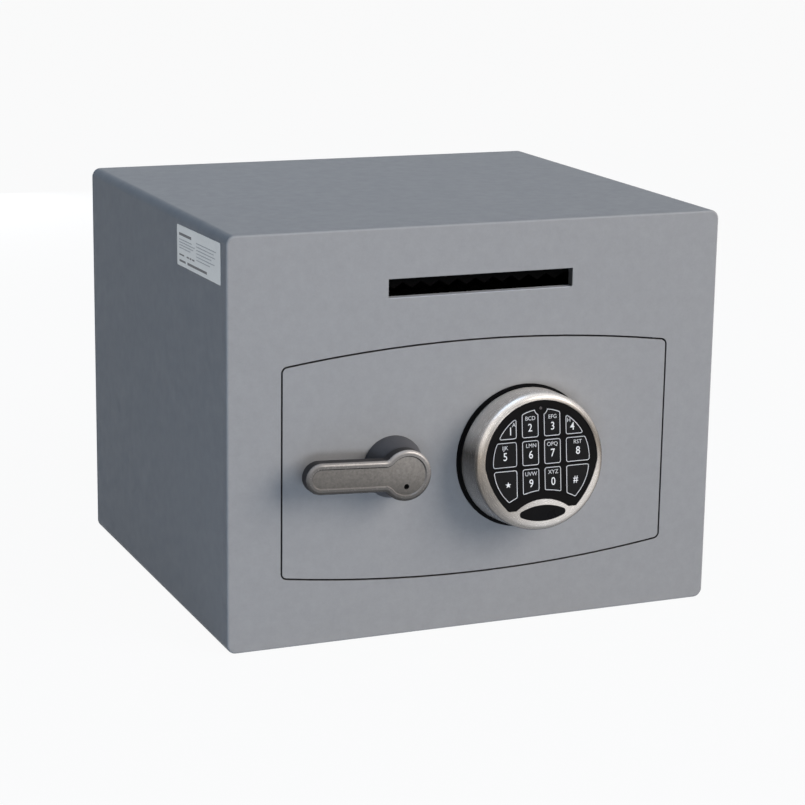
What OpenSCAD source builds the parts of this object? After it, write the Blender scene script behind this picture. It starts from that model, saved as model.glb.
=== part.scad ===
// Drop safe for counter takings: a double-walled steel cabinet with a letter
// slot above a flush door. The door carries a round electronic keypad and a
// lever whose cam throws three round bolts behind the front plate.
// Axes: +Z up, +X to the right as seen from the front, -Y out of the front.
// Origin: the middle of the cabinet's footprint, on the floor. Millimetres.
// At rest the door is shut, the lever lies to the left and the bolts are drawn
// in. Turning the lever down throws them.

/* [Cabinet] */
// Width of the cabinet
cab_w = 450; // [430:1:540]
// Height of the cabinet
cab_h = 352; // [338:1:430]
// Depth of the cabinet, front face to back face
cab_d = 395; // [320:1:500]
// Radius of the four long edges
edge_r = 8; // [5:0.5:12]
// Thickness of the front plate and of the door, cut from the same sheet
plate_t = 8; // [7:0.5:10]
// Thickness of the outer skin
skin_t = 3; // [2:0.5:4]
// Thickness of the back plate
back_t = 3; // [2:0.5:5]
// Side wall, outer skin to inner liner
side_wall = 32; // [28:1:36]
// Roof, outer skin to inner liner
roof_wall = 32; // [24:1:34]
// Floor, outer skin to inner liner
floor_wall = 38; // [30:1:42]
// Back wall, outer skin to inner liner
back_wall = 40; // [25:1:60]
// Sheet of the inner liner
liner_t = 2; // [1:0.5:3]
// Thickness of the floor mat
mat_t = 3; // [2:0.5:4]
// Bolt case to the front edge of the mat
mat_gap = 8; // [4:1:20]

/* [Doorway] */
// Front plate left standing on each side of the doorway
margin_x = 46.75; // [44:0.25:60]
// Height of the doorway's lowest point above the floor
doorway_z = 47.65; // [46:0.05:55]
// Height of the doorway at its middle
doorway_h = 206.3; // [196:0.1:208]
// How far its top and bottom edges bow out
doorway_rise = 12.7; // [8:0.1:14]
// Corner radius of the doorway
doorway_r = 5.75; // [4:0.25:12]
// Gap round the shut door
door_gap = 1.5; // [1.4:0.1:2.5]

/* [Deposit slot] */
// Width of the slot
slot_w = 169; // [120:1:200]
// Height of the slot
slot_h = 16; // [10:0.5:20]
// From the top of the cabinet down to the slot's centre line
slot_drop = 51; // [47:0.1:54]
// Room on each side of the slot inside the chute
chute_side = 5; // [2:0.5:10]
// Length of the chute behind the front plate
chute_l = 110; // [80:1:160]
// Drop of the chute's floor over its length
chute_fall = 26; // [10:1:28]
// Sheet of the chute, its baffle and its combs
chute_t = 2; // [1:0.5:3]
// Distance from the front plate to the hanging comb
comb_y = 6; // [3:1:20]
// Distance from the front plate to the standing comb
comb_y2 = 60; // [44:1:66]
// Pitch of the combs' teeth
tooth_pitch = 16.5; // [8:0.5:20]
// Height of the combs' teeth
tooth_h = 5; // [3:0.5:8]
// Clear height left between the hanging teeth and the chute's floor
comb_clear = 6.5; // [5.5:0.5:10]
// Root strip under the standing comb's teeth
comb_root = 2; // [1:0.5:4]
// Top of the baffle to the chute's rear end
baffle_back = 48; // [44:1:50]
// How far the baffle leans back
baffle_run = 26; // [16:1:36]
// Clear height between the baffle and the chute's floor
baffle_clear = 18; // [12:1:24]
// Depth of the flange that holds the baffle to the roof
baffle_lap = 12; // [6:1:16]

/* [Door hinge] */
// Pin axis to the door's hinge edge
pivot_inset = 10; // [8:0.5:14]
// Radius of the hinge pins
pin_r = 2.5; // [2:0.1:2.8]
// Length of pin held in the door and in the front plate
pin_hold = 12; // [8:0.5:16]
// Running clearance of the pins in the door
pin_clear = 0.06; // [0.02:0.01:0.09]

/* [Bolt case] */
// Door edge to the case, on the lock side
case_left = 8.75; // [6:0.25:12]
// Door edge to the case, on the hinge side
case_right = 16.75; // [14:0.25:30]
// Height of the case
case_h = 154; // [150:1:164]
// Depth of the case behind the door
case_d = 42; // [41:0.5:60]
// Sheet of the case
case_t = 3; // [2:0.5:4]
// Thickness of the case's back cover
cover_t = 2; // [1.5:0.5:4]
// Side of the posts that take the cover's screws
post_w = 9; // [8:0.5:12]
// Radius of the cover's screws
cover_screw_r = 2; // [1.5:0.1:2.5]
// Length of the cover's screws in the posts
cover_hold = 11; // [6:0.5:16]
// Height of their heads
cover_head = 2; // [1.5:0.1:2.5]

/* [Bolts] */
// Radius of the bolts
bolt_r = 9.5; // [7:0.5:10]
// Pitch of the bolts, up the door
bolt_pitch = 57; // [50:1:58]
// Bolt axis behind the door's back face
bolt_in = 11; // [10.5:0.5:14]
// Travel of the locking bolts
bolt_throw = 14; // [8:0.5:14]
// Door edge to the tips of the drawn bolts
bolt_set = 1.75; // [0.5:0.25:4]
// Drawn bolt tip to the flange that carries it
bolt_len = 35; // [32:0.5:40]
// Running clearance of the bolts in the case wall
bolt_clear = 0.08; // [0.02:0.01:0.1]
// Reach of the fixed dog bolts past the door's hinge edge
dog_reach = 10.75; // [6:0.25:11]
// Bevel on the bolt tips
bolt_bevel = 1.5; // [0.5:0.25:3]
// Thickness of the bolt carriage
carr_t = 4; // [3:0.5:5]
// Height of the carriage's arms
arm_w = 20; // [18:1:22]
// Radius of the shouldered studs that guide the carriage
stud_r = 4; // [3:0.25:4.5]
// Play of the studs in the carriage's slots
stud_play = 0.3; // [0.2:0.05:0.5]
// Thickness of the studs' heads
stud_head = 3; // [2:0.5:4]
// Reach of the heads past the studs
stud_lap = 3; // [2:0.5:4]
// Running gap of the carriage under the heads
stud_gap = 0.5; // [0.3:0.1:1]
// Lock case to the axis of the stud beside it
stud_lock = 24; // [20:1:28]

/* [Cam] */
// Spindle to cam pin with the bolts drawn
cam_r0 = 15; // [14:0.5:17]
// Radius of the cam pin
cam_pin_r = 4; // [3:0.25:4.5]
// Play of the pin in the cam's slot
cam_play = 0.3; // [0.2:0.05:0.5]
// Thickness of the cam
cam_t = 5; // [4:0.5:6]
// Metal left outside the cam's slot
cam_rim = 5; // [4:0.5:7]
// Turn of the lever that throws the bolts, in degrees
lever_turn = 90; // [70:1:100]

/* [Lock] */
// Centre of the lock, right of the door's middle
lock_x = 44; // [36:1:60]
// Width of the lock
lock_w = 60; // [52:1:64]
// Height of the lock
lock_h = 84; // [70:1:86]
// Depth of the lock
lock_d = 30; // [26:0.5:30]
// Thickness of the lock's lid
lid_t = 2; // [1:0.5:2]
// Width of the lock's bolt
lb_w = 16; // [12:0.5:18]
// Thickness of the lock's bolt
lb_d = 14; // [10:0.5:16]
// Length of the lock's bolt inside the lock
lb_in = 40; // [30:1:50]
// Travel of the lock's bolt
lb_drop = 7; // [5:0.5:8]
// Play of the lock's bolt, in its channel and over the ramp
lb_play = 0.3; // [0.2:0.05:0.4]
// Radius of the lock's screws
lock_screw_r = 2.5; // [2:0.1:3]
// Thickness of the hard plate behind the door
hard_t = 3; // [2:0.5:3.5]

/* [Lever] */
// Door's left edge to the lever's axis
lever_in = 98.05; // [92:0.05:104]
// Lever axis above the floor
lever_z = 149.2; // [145:0.1:156]
// Radius of the lever's hub
hub_r = 21.9; // [19:0.1:25]
// Hub centre to the arm's tip
arm_len = 89; // [70:0.5:92]
// Height of the arm
arm_h = 26.8; // [18:0.1:30]
// Thickness of the lever
lever_t = 12.5; // [10:0.5:14]
// Web radius between arm and hub
web_r = 4; // [4:2:10]
// Rounding of the lever's front edge
lever_round = 3; // [1:0.25:3.25]
// Width of the rim round the sunk panel
rim_w = 5.6; // [4:0.1:7]
// Depth of the sunk panel
panel_in = 1.2; // [0.4:0.1:1.5]
// Upward slant of the arm at rest, in degrees
lever_slant = 2.8; // [0:0.1:5]
// Radius of the boss behind the lever, on the door
boss_r = 26.8; // [24:0.1:32]
// Radius of its front end, under the hub
boss_top = 19.5; // [16:0.1:21]
// Height of the boss
boss_h = 20.1; // [16:0.1:24]
// Straight foot of the boss, before it narrows
boss_foot = 1.5; // [0.5:0.25:4]
// Gap between boss and lever
lever_gap = 0.4; // [0.3:0.1:1]
// Radius of the spindle
spin_r = 7; // [6:0.25:8]
// Running clearance of the spindle in the boss
spin_clear = 0.06; // [0.02:0.01:0.09]
// Hub centre down to the small screw hole
hole_drop = 9.3; // [8:0.1:12]
// Radius of the small screw hole
hole_r = 2.3; // [1.5:0.1:3]

/* [Keypad] */
// Face centre from the door's middle, to the right
pad_x = 42.4; // [36:0.1:60]
// Face centre above the floor
pad_z = 151.5; // [146:0.1:156]
// Height of the face's centre above the door
pad_h = 36; // [30:0.5:44]
// Upward slant of the face, in degrees
pad_tilt = 5.8; // [0:0.1:8]
// Radius of the housing
pad_r = 59.4; // [58:0.1:66]
// Rounding of the housing's shoulder
pad_round = 6.75; // [3:0.25:7]
// Wall of the housing
pad_wall = 2.5; // [2:0.25:3]
// Front wall of the housing
pad_top = 2; // [1.5:0.25:2.5]
// Radius of the base ring
ring_r = 63; // [62:0.5:68]
// Thickness of the base ring
ring_t = 5; // [4:0.1:6]
// Thickness of its outer flange
ring_foot = 2.2; // [1:0.1:3]
// Width of that flange
ring_step = 1.4; // [0.5:0.1:2]
// Radius of the black face
face_r = 52.5; // [50:0.25:53]
// Step from the housing's rim down to the face
face_in = 0.8; // [0.3:0.1:1]
// Thickness of the face's panel and of its rear flange, each
face_t = 1.2; // [1:0.1:1.4]
// Reach of the rear flange
face_lap = 1.5; // [1:0.1:2]
// Play of the face in the housing
face_play = 0.1; // [0.05:0.05:0.2]
// Radius that the outer keys reach
keys_r = 45.5; // [43:0.25:47]
// Edges of the inner key column, from the middle
col_a = 2.35; // [1.5:0.05:3]
// Outer edge of the inner key column
col_b = 18.15; // [15:0.05:19]
// Inner edge of the outer key column
col_c = 22.8; // [21.5:0.05:25]
// Bottom of the first row of keys
row_a = 21.2; // [21:0.1:23]
// Top of the second row
row_b = 19; // [17:0.1:19.2]
// Bottom of the second row
row_c = -2.6; // [-2.8:0.1:0]
// Top of the third row
row_d = -5; // [-7:0.1:-4.6]
// Bottom of the third row, at the middle
row_e = -24.8; // [-26:0.1:-20]
// How far the keys stand out of the face
key_proud = 0.4; // [0.2:0.1:1]
// Travel of a key
key_travel = 0.6; // [0.4:0.1:0.8]
// Gap round each key
key_gap = 0.3; // [0.2:0.05:0.5]
// Corner radius of the keys
key_round = 2.2; // [0.8:0.1:2.6]
// Flange round the back of each key
key_lip = 0.9; // [0.6:0.05:1]
// Radius of the cable tube between keypad and lock
tube_r = 5; // [4:0.25:6]
// Bore of the cable tube
tube_bore = 3.8; // [2:0.1:3.8]
// Half width of the oval plate under the keys
oval_a = 21.4; // [16:0.1:23]
// Half height of the oval plate
oval_b = 6.8; // [5:0.1:7.2]
// Face centre down to the oval plate's centre
oval_drop = 44; // [43.5:0.1:45]
// Metal between the face and the top of the oval plate
lip_h = 5.2; // [4.6:0.1:6]

/* [Fixing] */
// Spacing of the floor anchors, across
anchor_x = 300; // [200:1:320]
// Spacing of the floor anchors, front to back
anchor_y = 200; // [120:1:210]
// Radius of the anchor holes
anchor_r = 7; // [5:0.5:9]
// Wall of the anchor sleeves
sleeve_t = 3; // [2:0.5:5]
// Thickness of the caps over the anchor holes
cap_t = 2; // [1:0.5:4]
// Reach of the caps past the holes in the liner
cap_lap = 3; // [2:0.5:6]
// Play of the caps' stems in the liner
cap_play = 0.1; // [0.05:0.05:0.3]

/* [Label] */
// Length of the bare label on the left side
label_l = 115; // [60:1:140]
// Height of the label
label_h = 34.5; // [20:0.5:40]
// Front of the cabinet back to the label
label_y = 13; // [8:0.5:40]
// Top of the cabinet down to the label
label_drop = 9.5; // [8:0.5:20]
// Thickness of the label
label_t = 0.4; // [0.2:0.1:0.6]

/* [Hidden] */
$fn = 96;
big_fn = 900;
fit = 0.03;

yf = -cab_d / 2;
yb = cab_d / 2;
yp = yf + plate_t;

// Doorway: straight sides, top and bottom on large arcs.
half_w = cab_w / 2 - margin_x;
half_h = doorway_h / 2;
door_zc = doorway_z + half_h;
bow_r = (half_w * half_w + doorway_rise * doorway_rise) / (2 * doorway_rise);
door_hw = half_w - door_gap;
lever_x = -door_hw + lever_in;
// Height of the doorway's top edge above its middle, at x, for an outline grown by g
function bow(x, g) = half_h - bow_r + sqrt(pow(bow_r + g, 2) - x * x);

// Room inside the liner
room_x = cab_w / 2 - side_wall - liner_t;
room_z0 = floor_wall + liner_t;
room_z1 = cab_h - roof_wall - liner_t;
room_y1 = yb - back_wall - liner_t;

// Slot and chute
slot_z = cab_h - slot_drop;
slot_z0 = slot_z - slot_h / 2;
chute_hw = slot_w / 2 + chute_side;
chute_y1 = yp + chute_l;
// Height of the chute's floor at y
function tray(y) = slot_z0 - chute_fall * (y - yp) / chute_l;

// Hinge
pivot_x = door_hw - pivot_inset;
pivot_y = yf + plate_t / 2;

// Bolt case
case_x0 = -door_hw + case_left;
case_x1 = door_hw - case_right;
case_z0 = lever_z - case_h / 2;
case_z1 = lever_z + case_h / 2;
case_y1 = yp + case_d;

// Bolts and carriage. The hard plate lies on the door, the carriage behind it.
bolt_y = yp + bolt_in;
bolt_z = [for (i = [-1:1]) lever_z + i * bolt_pitch];
bolt_tip = -door_hw + bolt_set;
flange_x = bolt_tip + bolt_len;
carr_y = yp + hard_t + 1;
carr_y1 = carr_y + carr_t;
flange_y1 = bolt_y + bolt_r + 1.5;
arm_z = [lever_z - bolt_pitch + 2, lever_z + bolt_pitch + 1];
slot_r = stud_r + stud_play;
stud_x = flange_x + carr_t + slot_r + bolt_throw + 5.7;
stud_x2 = lock_x - lock_w / 2 - stud_lock;

// Cam, on the spindle behind the carriage
cam_y = carr_y1 + 1;
cam_slot_r = cam_pin_r + cam_play;
cam_or = cam_r0 + bolt_throw + cam_slot_r + cam_rim;
sq = 9.8;
thread_r = 4;
web_hh = cam_slot_r + cam_r0 + 11;
// Middle of the cam's slot: it moves outward at a steady rate as the lever turns
function cam_mid(t) = (cam_r0 + bolt_throw * t) * [cos(180 - lever_turn * t), sin(180 - lever_turn * t)];
function cam_dir(t) = let (d = cam_mid(t + 0.01) - cam_mid(t - 0.01)) d / norm(d);
function cam_edge(t, s) = cam_mid(t) + s * cam_slot_r * [-cam_dir(t)[1], cam_dir(t)[0]];
// Round end of the slot, s = 1 at its outer end and -1 at its inner end
function cam_cap(t, s) = let (d = cam_dir(t), n = [-d[1], d[0]])
    [for (a = [10:10:170]) cam_mid(t) + s * cam_slot_r * (cos(a) * n + sin(a) * d)];

// Lock
lock_y = yp + hard_t;
lock_y1 = lock_y + lock_d;
lock_z0 = arm_z[0] + arm_w / 2 + 14;
lb_y = lock_y + 8 + lb_d / 2;
lb_x0 = lock_x - lb_w / 2;
slope = lb_drop / bolt_throw;
ramp_z = lock_z0 - 6;
// Height of the carriage's ramp at x, with the bolts drawn
function ramp(x) = ramp_z - slope * (x - lb_x0);

// Floor anchors. The holes in the liner are wider, and the caps' stems end on the sleeves.
liner_hole = anchor_r + sleeve_t / 2 + 0.5;

// Lever
lever_y = yf - boss_h - lever_gap;
bore_in = lever_t - 3;
web_x = sqrt(pow(hub_r + web_r, 2) - pow(arm_h / 2 + web_r, 2));

// Keypad. Its parts are drawn with +Z out of the face and +Y up the face.
flange_t = 1;
key_back = -2 * face_t - key_gap;
board_z = key_back - flange_t - key_travel - 0.4;
led_v = keys_r + 0.3;
lip_r = 40;
heel = 62;
pad_foot = pad_h + pad_r / 3;
ring_z = pad_z - (pad_h - ring_t) * tan(pad_tilt);

// Points on an arc from angle a to angle b
function arc(cx, cy, r, a, b, n) = [for (i = [0:n])
    let (g = a + (b - a) * i / n) [cx + r * cos(g), cy + r * sin(g)]];
// The same arc with longer steps at its two ends, for corners that are eased later
function span(cx, cy, r, a, b, n) = [for (i = [0:n])
    let (t = i == 0 ? 0 : i == n ? 1 : 0.5 + (i / n - 0.5) * 0.7)
    let (g = a + (b - a) * t) [cx + r * cos(g), cy + r * sin(g)]];
function cross2(a, b) = a[0] * b[1] - a[1] * b[0];
// A point list with each sharp corner eased by an arc of about radius r
function ease_at(p, i, r) =
    let (n = len(p), a = p[(i + n - 1) % n] - p[i], b = p[(i + 1) % n] - p[i])
    let (ua = a / norm(a), ub = b / norm(b), turn = 180 - acos(max(-1, min(1, ua * ub))))
    turn < 25 ? [p[i]] :
    let (h = tan(turn / 2), k = min(r * h, 0.45 * norm(a), 0.45 * norm(b)), q = k / h)
    let (m = ua + ub, c = p[i] + m / norm(m) * q / cos(turn / 2))
    let (s = p[i] + ua * k - c, e = p[i] + ub * k - c, w = cross2(s, e) > 0 ? 1 : -1)
    [for (j = [0:3]) let (g = w * turn * j / 3)
        c + [s[0] * cos(g) - s[1] * sin(g), s[0] * sin(g) + s[1] * cos(g)]];
function ease(p, r) = [for (i = [0:len(p) - 1]) each ease_at(p, i, r)];
function flip(p) = [for (i = [len(p) - 1:-1:0]) [-p[i][0], p[i][1]]];

function deg_of(u, v) = atan2(v, u);
// The lower keys end on an arc that follows the lip under the face
heel_c = row_e - heel;
function heel_v(u, g) = heel_c + sqrt(pow(heel - g, 2) - u * u);

// Right-hand keys, grown by g on every side
function key_top(g) =
    let (u0 = col_c - g, v0 = row_a - g, r = keys_r + g)
    concat([[u0, v0]], span(0, 0, r, asin(v0 / r), acos(u0 / r), 7));
function key_notched(g) =
    let (u0 = col_a - g, u1 = col_b + g, v0 = row_a - g, r = keys_r + g, n = 5.6 - g)
    let (vn = (r * r - n * n + led_v * led_v) / (2 * led_v), un = sqrt(r * r - vn * vn))
    concat([[u0, v0], [u1, v0]], span(0, 0, r, acos(u1 / r), deg_of(un, vn), 4),
        arc(0, led_v, n, deg_of(un, vn - led_v), -acos(u0 / n), 6));
function key_side(g) =
    let (u0 = col_c - g, r = keys_r + g)
    concat([[u0, row_c - g]],
        span(0, 0, r, asin((row_c - g) / r), asin((row_b + g) / r), 7), [[u0, row_b + g]]);
function key_box(g) =
    let (u0 = col_a - g, u1 = col_b + g, v0 = row_c - g, v1 = row_b + g)
    [[u0, v0], [u1, v0], [u1, v1], [u0, v1]];
function key_low(g) =
    concat([for (i = [0:4]) let (u = col_a - g + (col_b - col_a + 2 * g) * i / 4) [u, heel_v(u, g)]],
        [[col_b + g, row_d + g], [col_a - g, row_d + g]]);
function key_foot(g) =
    let (u0 = col_c - g, r = keys_r + g, R = heel - g, c = heel_c)
    let (v = (r * r + c * c - R * R) / (2 * c), u = sqrt(r * r - v * v))
    concat([for (i = [0:2]) let (w = u0 + (u - u0) * i / 3) [w, heel_v(w, g)]],
        span(0, 0, r, deg_of(u, v), asin((row_d + g) / r), 7), [[u0, row_d + g]]);
KEYS = ["1", "2", "3", "4", "5", "6", "7", "8", "star", "9", "0", "hash"];
function key_pts(k, g) =
    k == "4" ? key_top(g) : k == "1" ? flip(key_top(g)) :
    k == "3" ? key_notched(g) : k == "2" ? flip(key_notched(g)) :
    k == "8" ? key_side(g) : k == "5" ? flip(key_side(g)) :
    k == "7" ? key_box(g) : k == "6" ? flip(key_box(g)) :
    k == "0" ? key_low(g) : k == "9" ? flip(key_low(g)) :
    k == "hash" ? key_foot(g) : flip(key_foot(g));

// Outline of the black face: round above, flatter down the sides, and bitten
// from below by the lip of the housing
face_foot = [face_r * 0.602, -oval_drop + 3.7];
side_a = [face_r * cos(2), -face_r * sin(2)];
side_m = (side_a + face_foot) / 2;
side_d = face_foot - side_a;
side_n = [-side_d[1], side_d[0]] / norm(side_d);
function side_pt(t) = side_a + side_d * t + side_n * 3.3 * 4 * t * (1 - t);
lip_c = -oval_drop + oval_b + lip_h - lip_r;
lip_u = sqrt(lip_r * lip_r - pow(face_foot[1] - lip_c, 2));
lip_a = deg_of(lip_u, face_foot[1] - lip_c);
function face_pts() =
    let (right = concat(arc(0, 0, face_r, 90, -2, 23), [for (i = [1:6]) side_pt(i / 6)]))
    let (lip = arc(0, lip_c, lip_r, lip_a, 90, 6))
    let (half = concat(right, lip))
    concat(half, [for (i = [len(half) - 2:-1:1]) [-half[i][0], half[i][1]]]);
// The same outline with every point pushed out by g
function grown(p, g) =
    let (n = len(p))
    [for (i = [0:n - 1]) let (d = p[(i + 1) % n] - p[(i + n - 1) % n]) p[i] + g * [-d[1], d[0]] / norm(d)];

// Colours, as the photograph shows them
paint = [0.60, 0.61, 0.63];
inside = [0.52, 0.53, 0.55];
steel = [0.72, 0.72, 0.70];
nickel = [0.62, 0.60, 0.56];
black = [0.06, 0.06, 0.06];
slate = [0.25, 0.25, 0.27];

// A flat shape drawn in the plane of the front, from y0 back by t
module slab(y0, t) translate([0, y0 + t, 0]) rotate([90, 0, 0]) linear_extrude(height = t) children();
// A flat shape drawn in the plane of the side (y, z), from x0 to the right by t
module along(x0, t) translate([x0, 0, 0]) rotate([90, 0, 90]) linear_extrude(height = t) children();
module rod_y(x, z, y0, y1, r) translate([x, y1, z]) rotate([90, 0, 0]) cylinder(h = y1 - y0, r = r);
module box(a, b) translate(a) cube(b - a);

module rrect(w, h, r) {
    square([w - 2 * r, h], center = true);
    square([w, h - 2 * r], center = true);
    for (sx = [-1, 1], sz = [-1, 1])
        translate([sx * (w / 2 - r), sz * (h / 2 - r)]) circle(r);
}

// Outline of the doorway grown by g, centred on its own middle
module doorway(g) {
    hw = half_w + g;
    hh = half_h + g;
    r = doorway_r + g;
    big = bow_r + g;
    fx = hw - r;
    fz = hh - big + sqrt(pow(big - r, 2) - fx * fx);
    n = [fx, fz - (hh - big)] / (big - r);
    far = r + 6;
    difference() {
        intersection() {
            square([2 * hw, 4 * hh], center = true);
            translate([0, hh - big]) circle(big, $fn = big_fn);
            translate([0, big - hh]) circle(big, $fn = big_fn);
        }
        for (sx = [0, 1], sz = [0, 1]) mirror([sx, 0]) mirror([0, sz])
            polygon([[fx, fz], [fx + far, fz], [fx + far, fz + 1.4 * far], [fx, fz] + n * 1.4 * far]);
    }
    for (sx = [-1, 1], sz = [-1, 1]) translate([sx * fx, sz * fz]) circle(r);
}

// Upright holes or pins on the hinge axis, top and bottom
module hinge_rods(r, lo, hi)
    for (s = [0, 1]) translate([pivot_x, pivot_y, door_zc]) mirror([0, 0, s])
        translate([0, 0, lo]) cylinder(h = hi - lo, r = r);

module at_anchors() for (sx = [-1, 1], sy = [-1, 1])
    translate([sx * anchor_x / 2, sy * anchor_y / 2, 0]) children();

// Pieces of the cabinet
module front_plate() color(paint) difference() {
    slab(yf, plate_t) difference() {
        translate([0, cab_h / 2]) rrect(cab_w, cab_h, edge_r);
        translate([0, door_zc]) doorway(0);
        translate([0, slot_z]) square([slot_w, slot_h], center = true);
    }
    hinge_rods(pin_r + fit, bow(pivot_x, 0) - 2, bow(pivot_x, 0) + pin_hold);
}

module body_wrap() color(paint) difference() {
    slab(yp, cab_d - plate_t - back_t) translate([0, cab_h / 2]) difference() {
        rrect(cab_w, cab_h, edge_r);
        rrect(cab_w - 2 * skin_t, cab_h - 2 * skin_t, edge_r - skin_t);
    }
    at_anchors() translate([0, 0, -1]) cylinder(h = skin_t + 2, r = anchor_r);
}

module back_plate() color(paint) slab(yb - back_t, back_t)
    translate([0, cab_h / 2]) rrect(cab_w, cab_h, edge_r);

module barrier_fill() color([0.7, 0.68, 0.64]) difference() {
    slab(yp, cab_d - plate_t - back_t) translate([0, cab_h / 2])
        rrect(cab_w - 2 * skin_t, cab_h - 2 * skin_t, edge_r);
    box([-room_x - liner_t, yp - 1, floor_wall], [room_x + liner_t, room_y1 + liner_t, cab_h - roof_wall]);
    at_anchors() cylinder(h = floor_wall + 1, r = anchor_r + sleeve_t + fit);
}

module liner() color(inside) difference() {
    box([-room_x - liner_t, yp, floor_wall], [room_x + liner_t, room_y1 + liner_t, cab_h - roof_wall]);
    box([-room_x, yp - 1, room_z0], [room_x, room_y1, room_z1]);
    at_anchors() translate([0, 0, floor_wall - 1]) cylinder(h = liner_t + 2, r = liner_hole);
}

module floor_mat() color([0.16, 0.16, 0.17]) difference() {
    box([-room_x + 2, case_y1 + cover_t + mat_gap, room_z0], [room_x - 2, room_y1 - 2, room_z0 + mat_t]);
    at_anchors() translate([0, 0, room_z0 - 1]) cylinder(h = mat_t + 2, r = liner_hole + cap_lap + 2);
}

module hinge_pins() color(steel)
    hinge_rods(pin_r, bow(pivot_x, -door_gap) - pin_hold + 0.3, bow(pivot_x, 0) + pin_hold);

module chute() color(inside) {
    along(-chute_hw, 2 * chute_hw) polygon([[yp, tray(yp) - chute_t], [chute_y1, tray(chute_y1) - chute_t],
        [chute_y1, tray(chute_y1)], [yp, tray(yp)]]);
    for (x = [-chute_hw - chute_t, chute_hw]) along(x, chute_t)
        polygon([[yp, tray(yp) - chute_t], [chute_y1, tray(chute_y1) - chute_t],
            [chute_y1, room_z1], [yp, room_z1]]);
}

// A plate that hangs from the roof and leans back over the chute's floor
module baffle() color(inside) along(-chute_hw, 2 * chute_hw) {
    y0 = yp + chute_l - baffle_back;
    y1 = y0 + baffle_run;
    z1 = tray(y1) + baffle_clear;
    lap = y0 - baffle_lap;
    polygon([[lap, room_z1], [lap, room_z1 - chute_t], [y0, room_z1 - chute_t], [y1, z1], [y1 + chute_t, z1],
        [y0 + chute_t, room_z1 - chute_t], [y0 + chute_t, room_z1]]);
}

// Saw teeth along x, points towards +z, on a root line at z = 0
module teeth() {
    n = floor(2 * chute_hw / tooth_pitch);
    for (i = [0:n - 1]) translate([(i - n / 2) * tooth_pitch, 0])
        polygon([[0, -0.01], [tooth_pitch, -0.01], [tooth_pitch / 2, tooth_h]]);
}

module comb_upper() color(inside) {
    z = tray(yp + comb_y) + comb_clear + tooth_h;
    slab(yp + comb_y, chute_t) {
        translate([-chute_hw, z]) square([2 * chute_hw, room_z1 - z]);
        translate([0, z]) mirror([0, 1]) teeth();
    }
}

module comb_lower() color(inside) {
    z = tray(yp + comb_y2);
    slab(yp + comb_y2, chute_t) {
        translate([-chute_hw, z]) square([2 * chute_hw, comb_root]);
        translate([0, z + comb_root]) teeth();
    }
}

module anchor_sleeves() color(steel) at_anchors() translate([0, 0, skin_t]) difference() {
    cylinder(h = floor_wall - skin_t, r = anchor_r + sleeve_t);
    translate([0, 0, -1]) cylinder(h = floor_wall, r = anchor_r);
}

module anchor_plugs() color(black) at_anchors() {
    translate([0, 0, room_z0]) cylinder(h = cap_t, r = liner_hole + cap_lap);
    translate([0, 0, floor_wall]) cylinder(h = liner_t, r = liner_hole - cap_play);
}

module side_label() color([0.85, 0.86, 0.87])
    along(-cab_w / 2 - label_t, label_t)
        translate([yf + label_y + label_l / 2, cab_h - label_drop - label_h / 2])
            rrect(label_l, label_h, 1.5);

// Pieces fixed to the door
module at_lock_screws() for (sx = [-1, 1], sz = [0, 1])
    translate([lock_x + sx * (lock_w / 2 - 6), 0, lock_z0 + 6 + sz * (lock_h - 12)]) children();
module lock_bores(y0, y1, r) at_lock_screws() rod_y(0, 0, y0, y1, r);

module door_plate() color(paint) difference() {
    slab(yf, plate_t) translate([0, door_zc]) doorway(-door_gap);
    rod_y(lever_x, lever_z, yf - 1, yp + 1, spin_r + 0.5);
    rod_y(pad_x, ring_z, yf - 1, yp + 1, tube_r + fit);
    hinge_rods(pin_r + pin_clear, bow(pivot_x, -door_gap) - pin_hold, bow(pivot_x, -door_gap) + 4);
    lock_bores(yp - plate_t / 2, yp + 1, lock_screw_r + fit);
}

module hard_plate() color(steel) {
    x0 = lever_x - 25;
    x1 = lock_x + lock_w / 2 + 4;
    z0 = arm_z[0] + arm_w / 2 + 2;
    z1 = lock_z0 + lock_h + 3;
    difference() {
        slab(yp, hard_t) translate([(x0 + x1) / 2, (z0 + z1) / 2]) rrect(x1 - x0, z1 - z0, 4);
        rod_y(lever_x, lever_z, yp - 1, yp + hard_t + 1, spin_r + 0.5);
        rod_y(pad_x, ring_z, yp - 1, yp + hard_t + 1, tube_r + fit);
        lock_bores(yp - 1, yp + hard_t + 1, lock_screw_r + fit);
    }
}

module case_rect(g) translate([(case_x0 + case_x1) / 2, door_zc])
    square([case_x1 - case_x0 - 2 * g, case_h - 2 * g], center = true);
module at_posts() for (x = [case_x0 + case_t + post_w / 2, case_x1 - case_t - post_w / 2],
    z = [case_z0 + case_t + post_w / 2, case_z1 - case_t - post_w / 2]) translate([x, 0, z]) children();

module door_case() color(inside) difference() {
    union() {
        slab(yp, case_d) difference() {
            case_rect(0);
            case_rect(case_t);
        }
        at_posts() box([-post_w / 2 - 1, flange_y1 + 1, -post_w / 2 - 1], [post_w / 2, case_y1, post_w / 2]);
    }
    for (z = bolt_z) translate([case_x0 - 1, bolt_y, z]) rotate([0, 90, 0])
        cylinder(h = case_t + 2, r = bolt_r + bolt_clear);
    at_posts() rod_y(0, 0, case_y1 - cover_hold - 1, case_y1 + 1, cover_screw_r + fit);
}

module case_cover() color(inside) difference() {
    slab(case_y1, cover_t) case_rect(0);
    at_posts() rod_y(0, 0, case_y1 - 1, case_y1 + cover_t + 1, cover_screw_r + 0.2);
}

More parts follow.
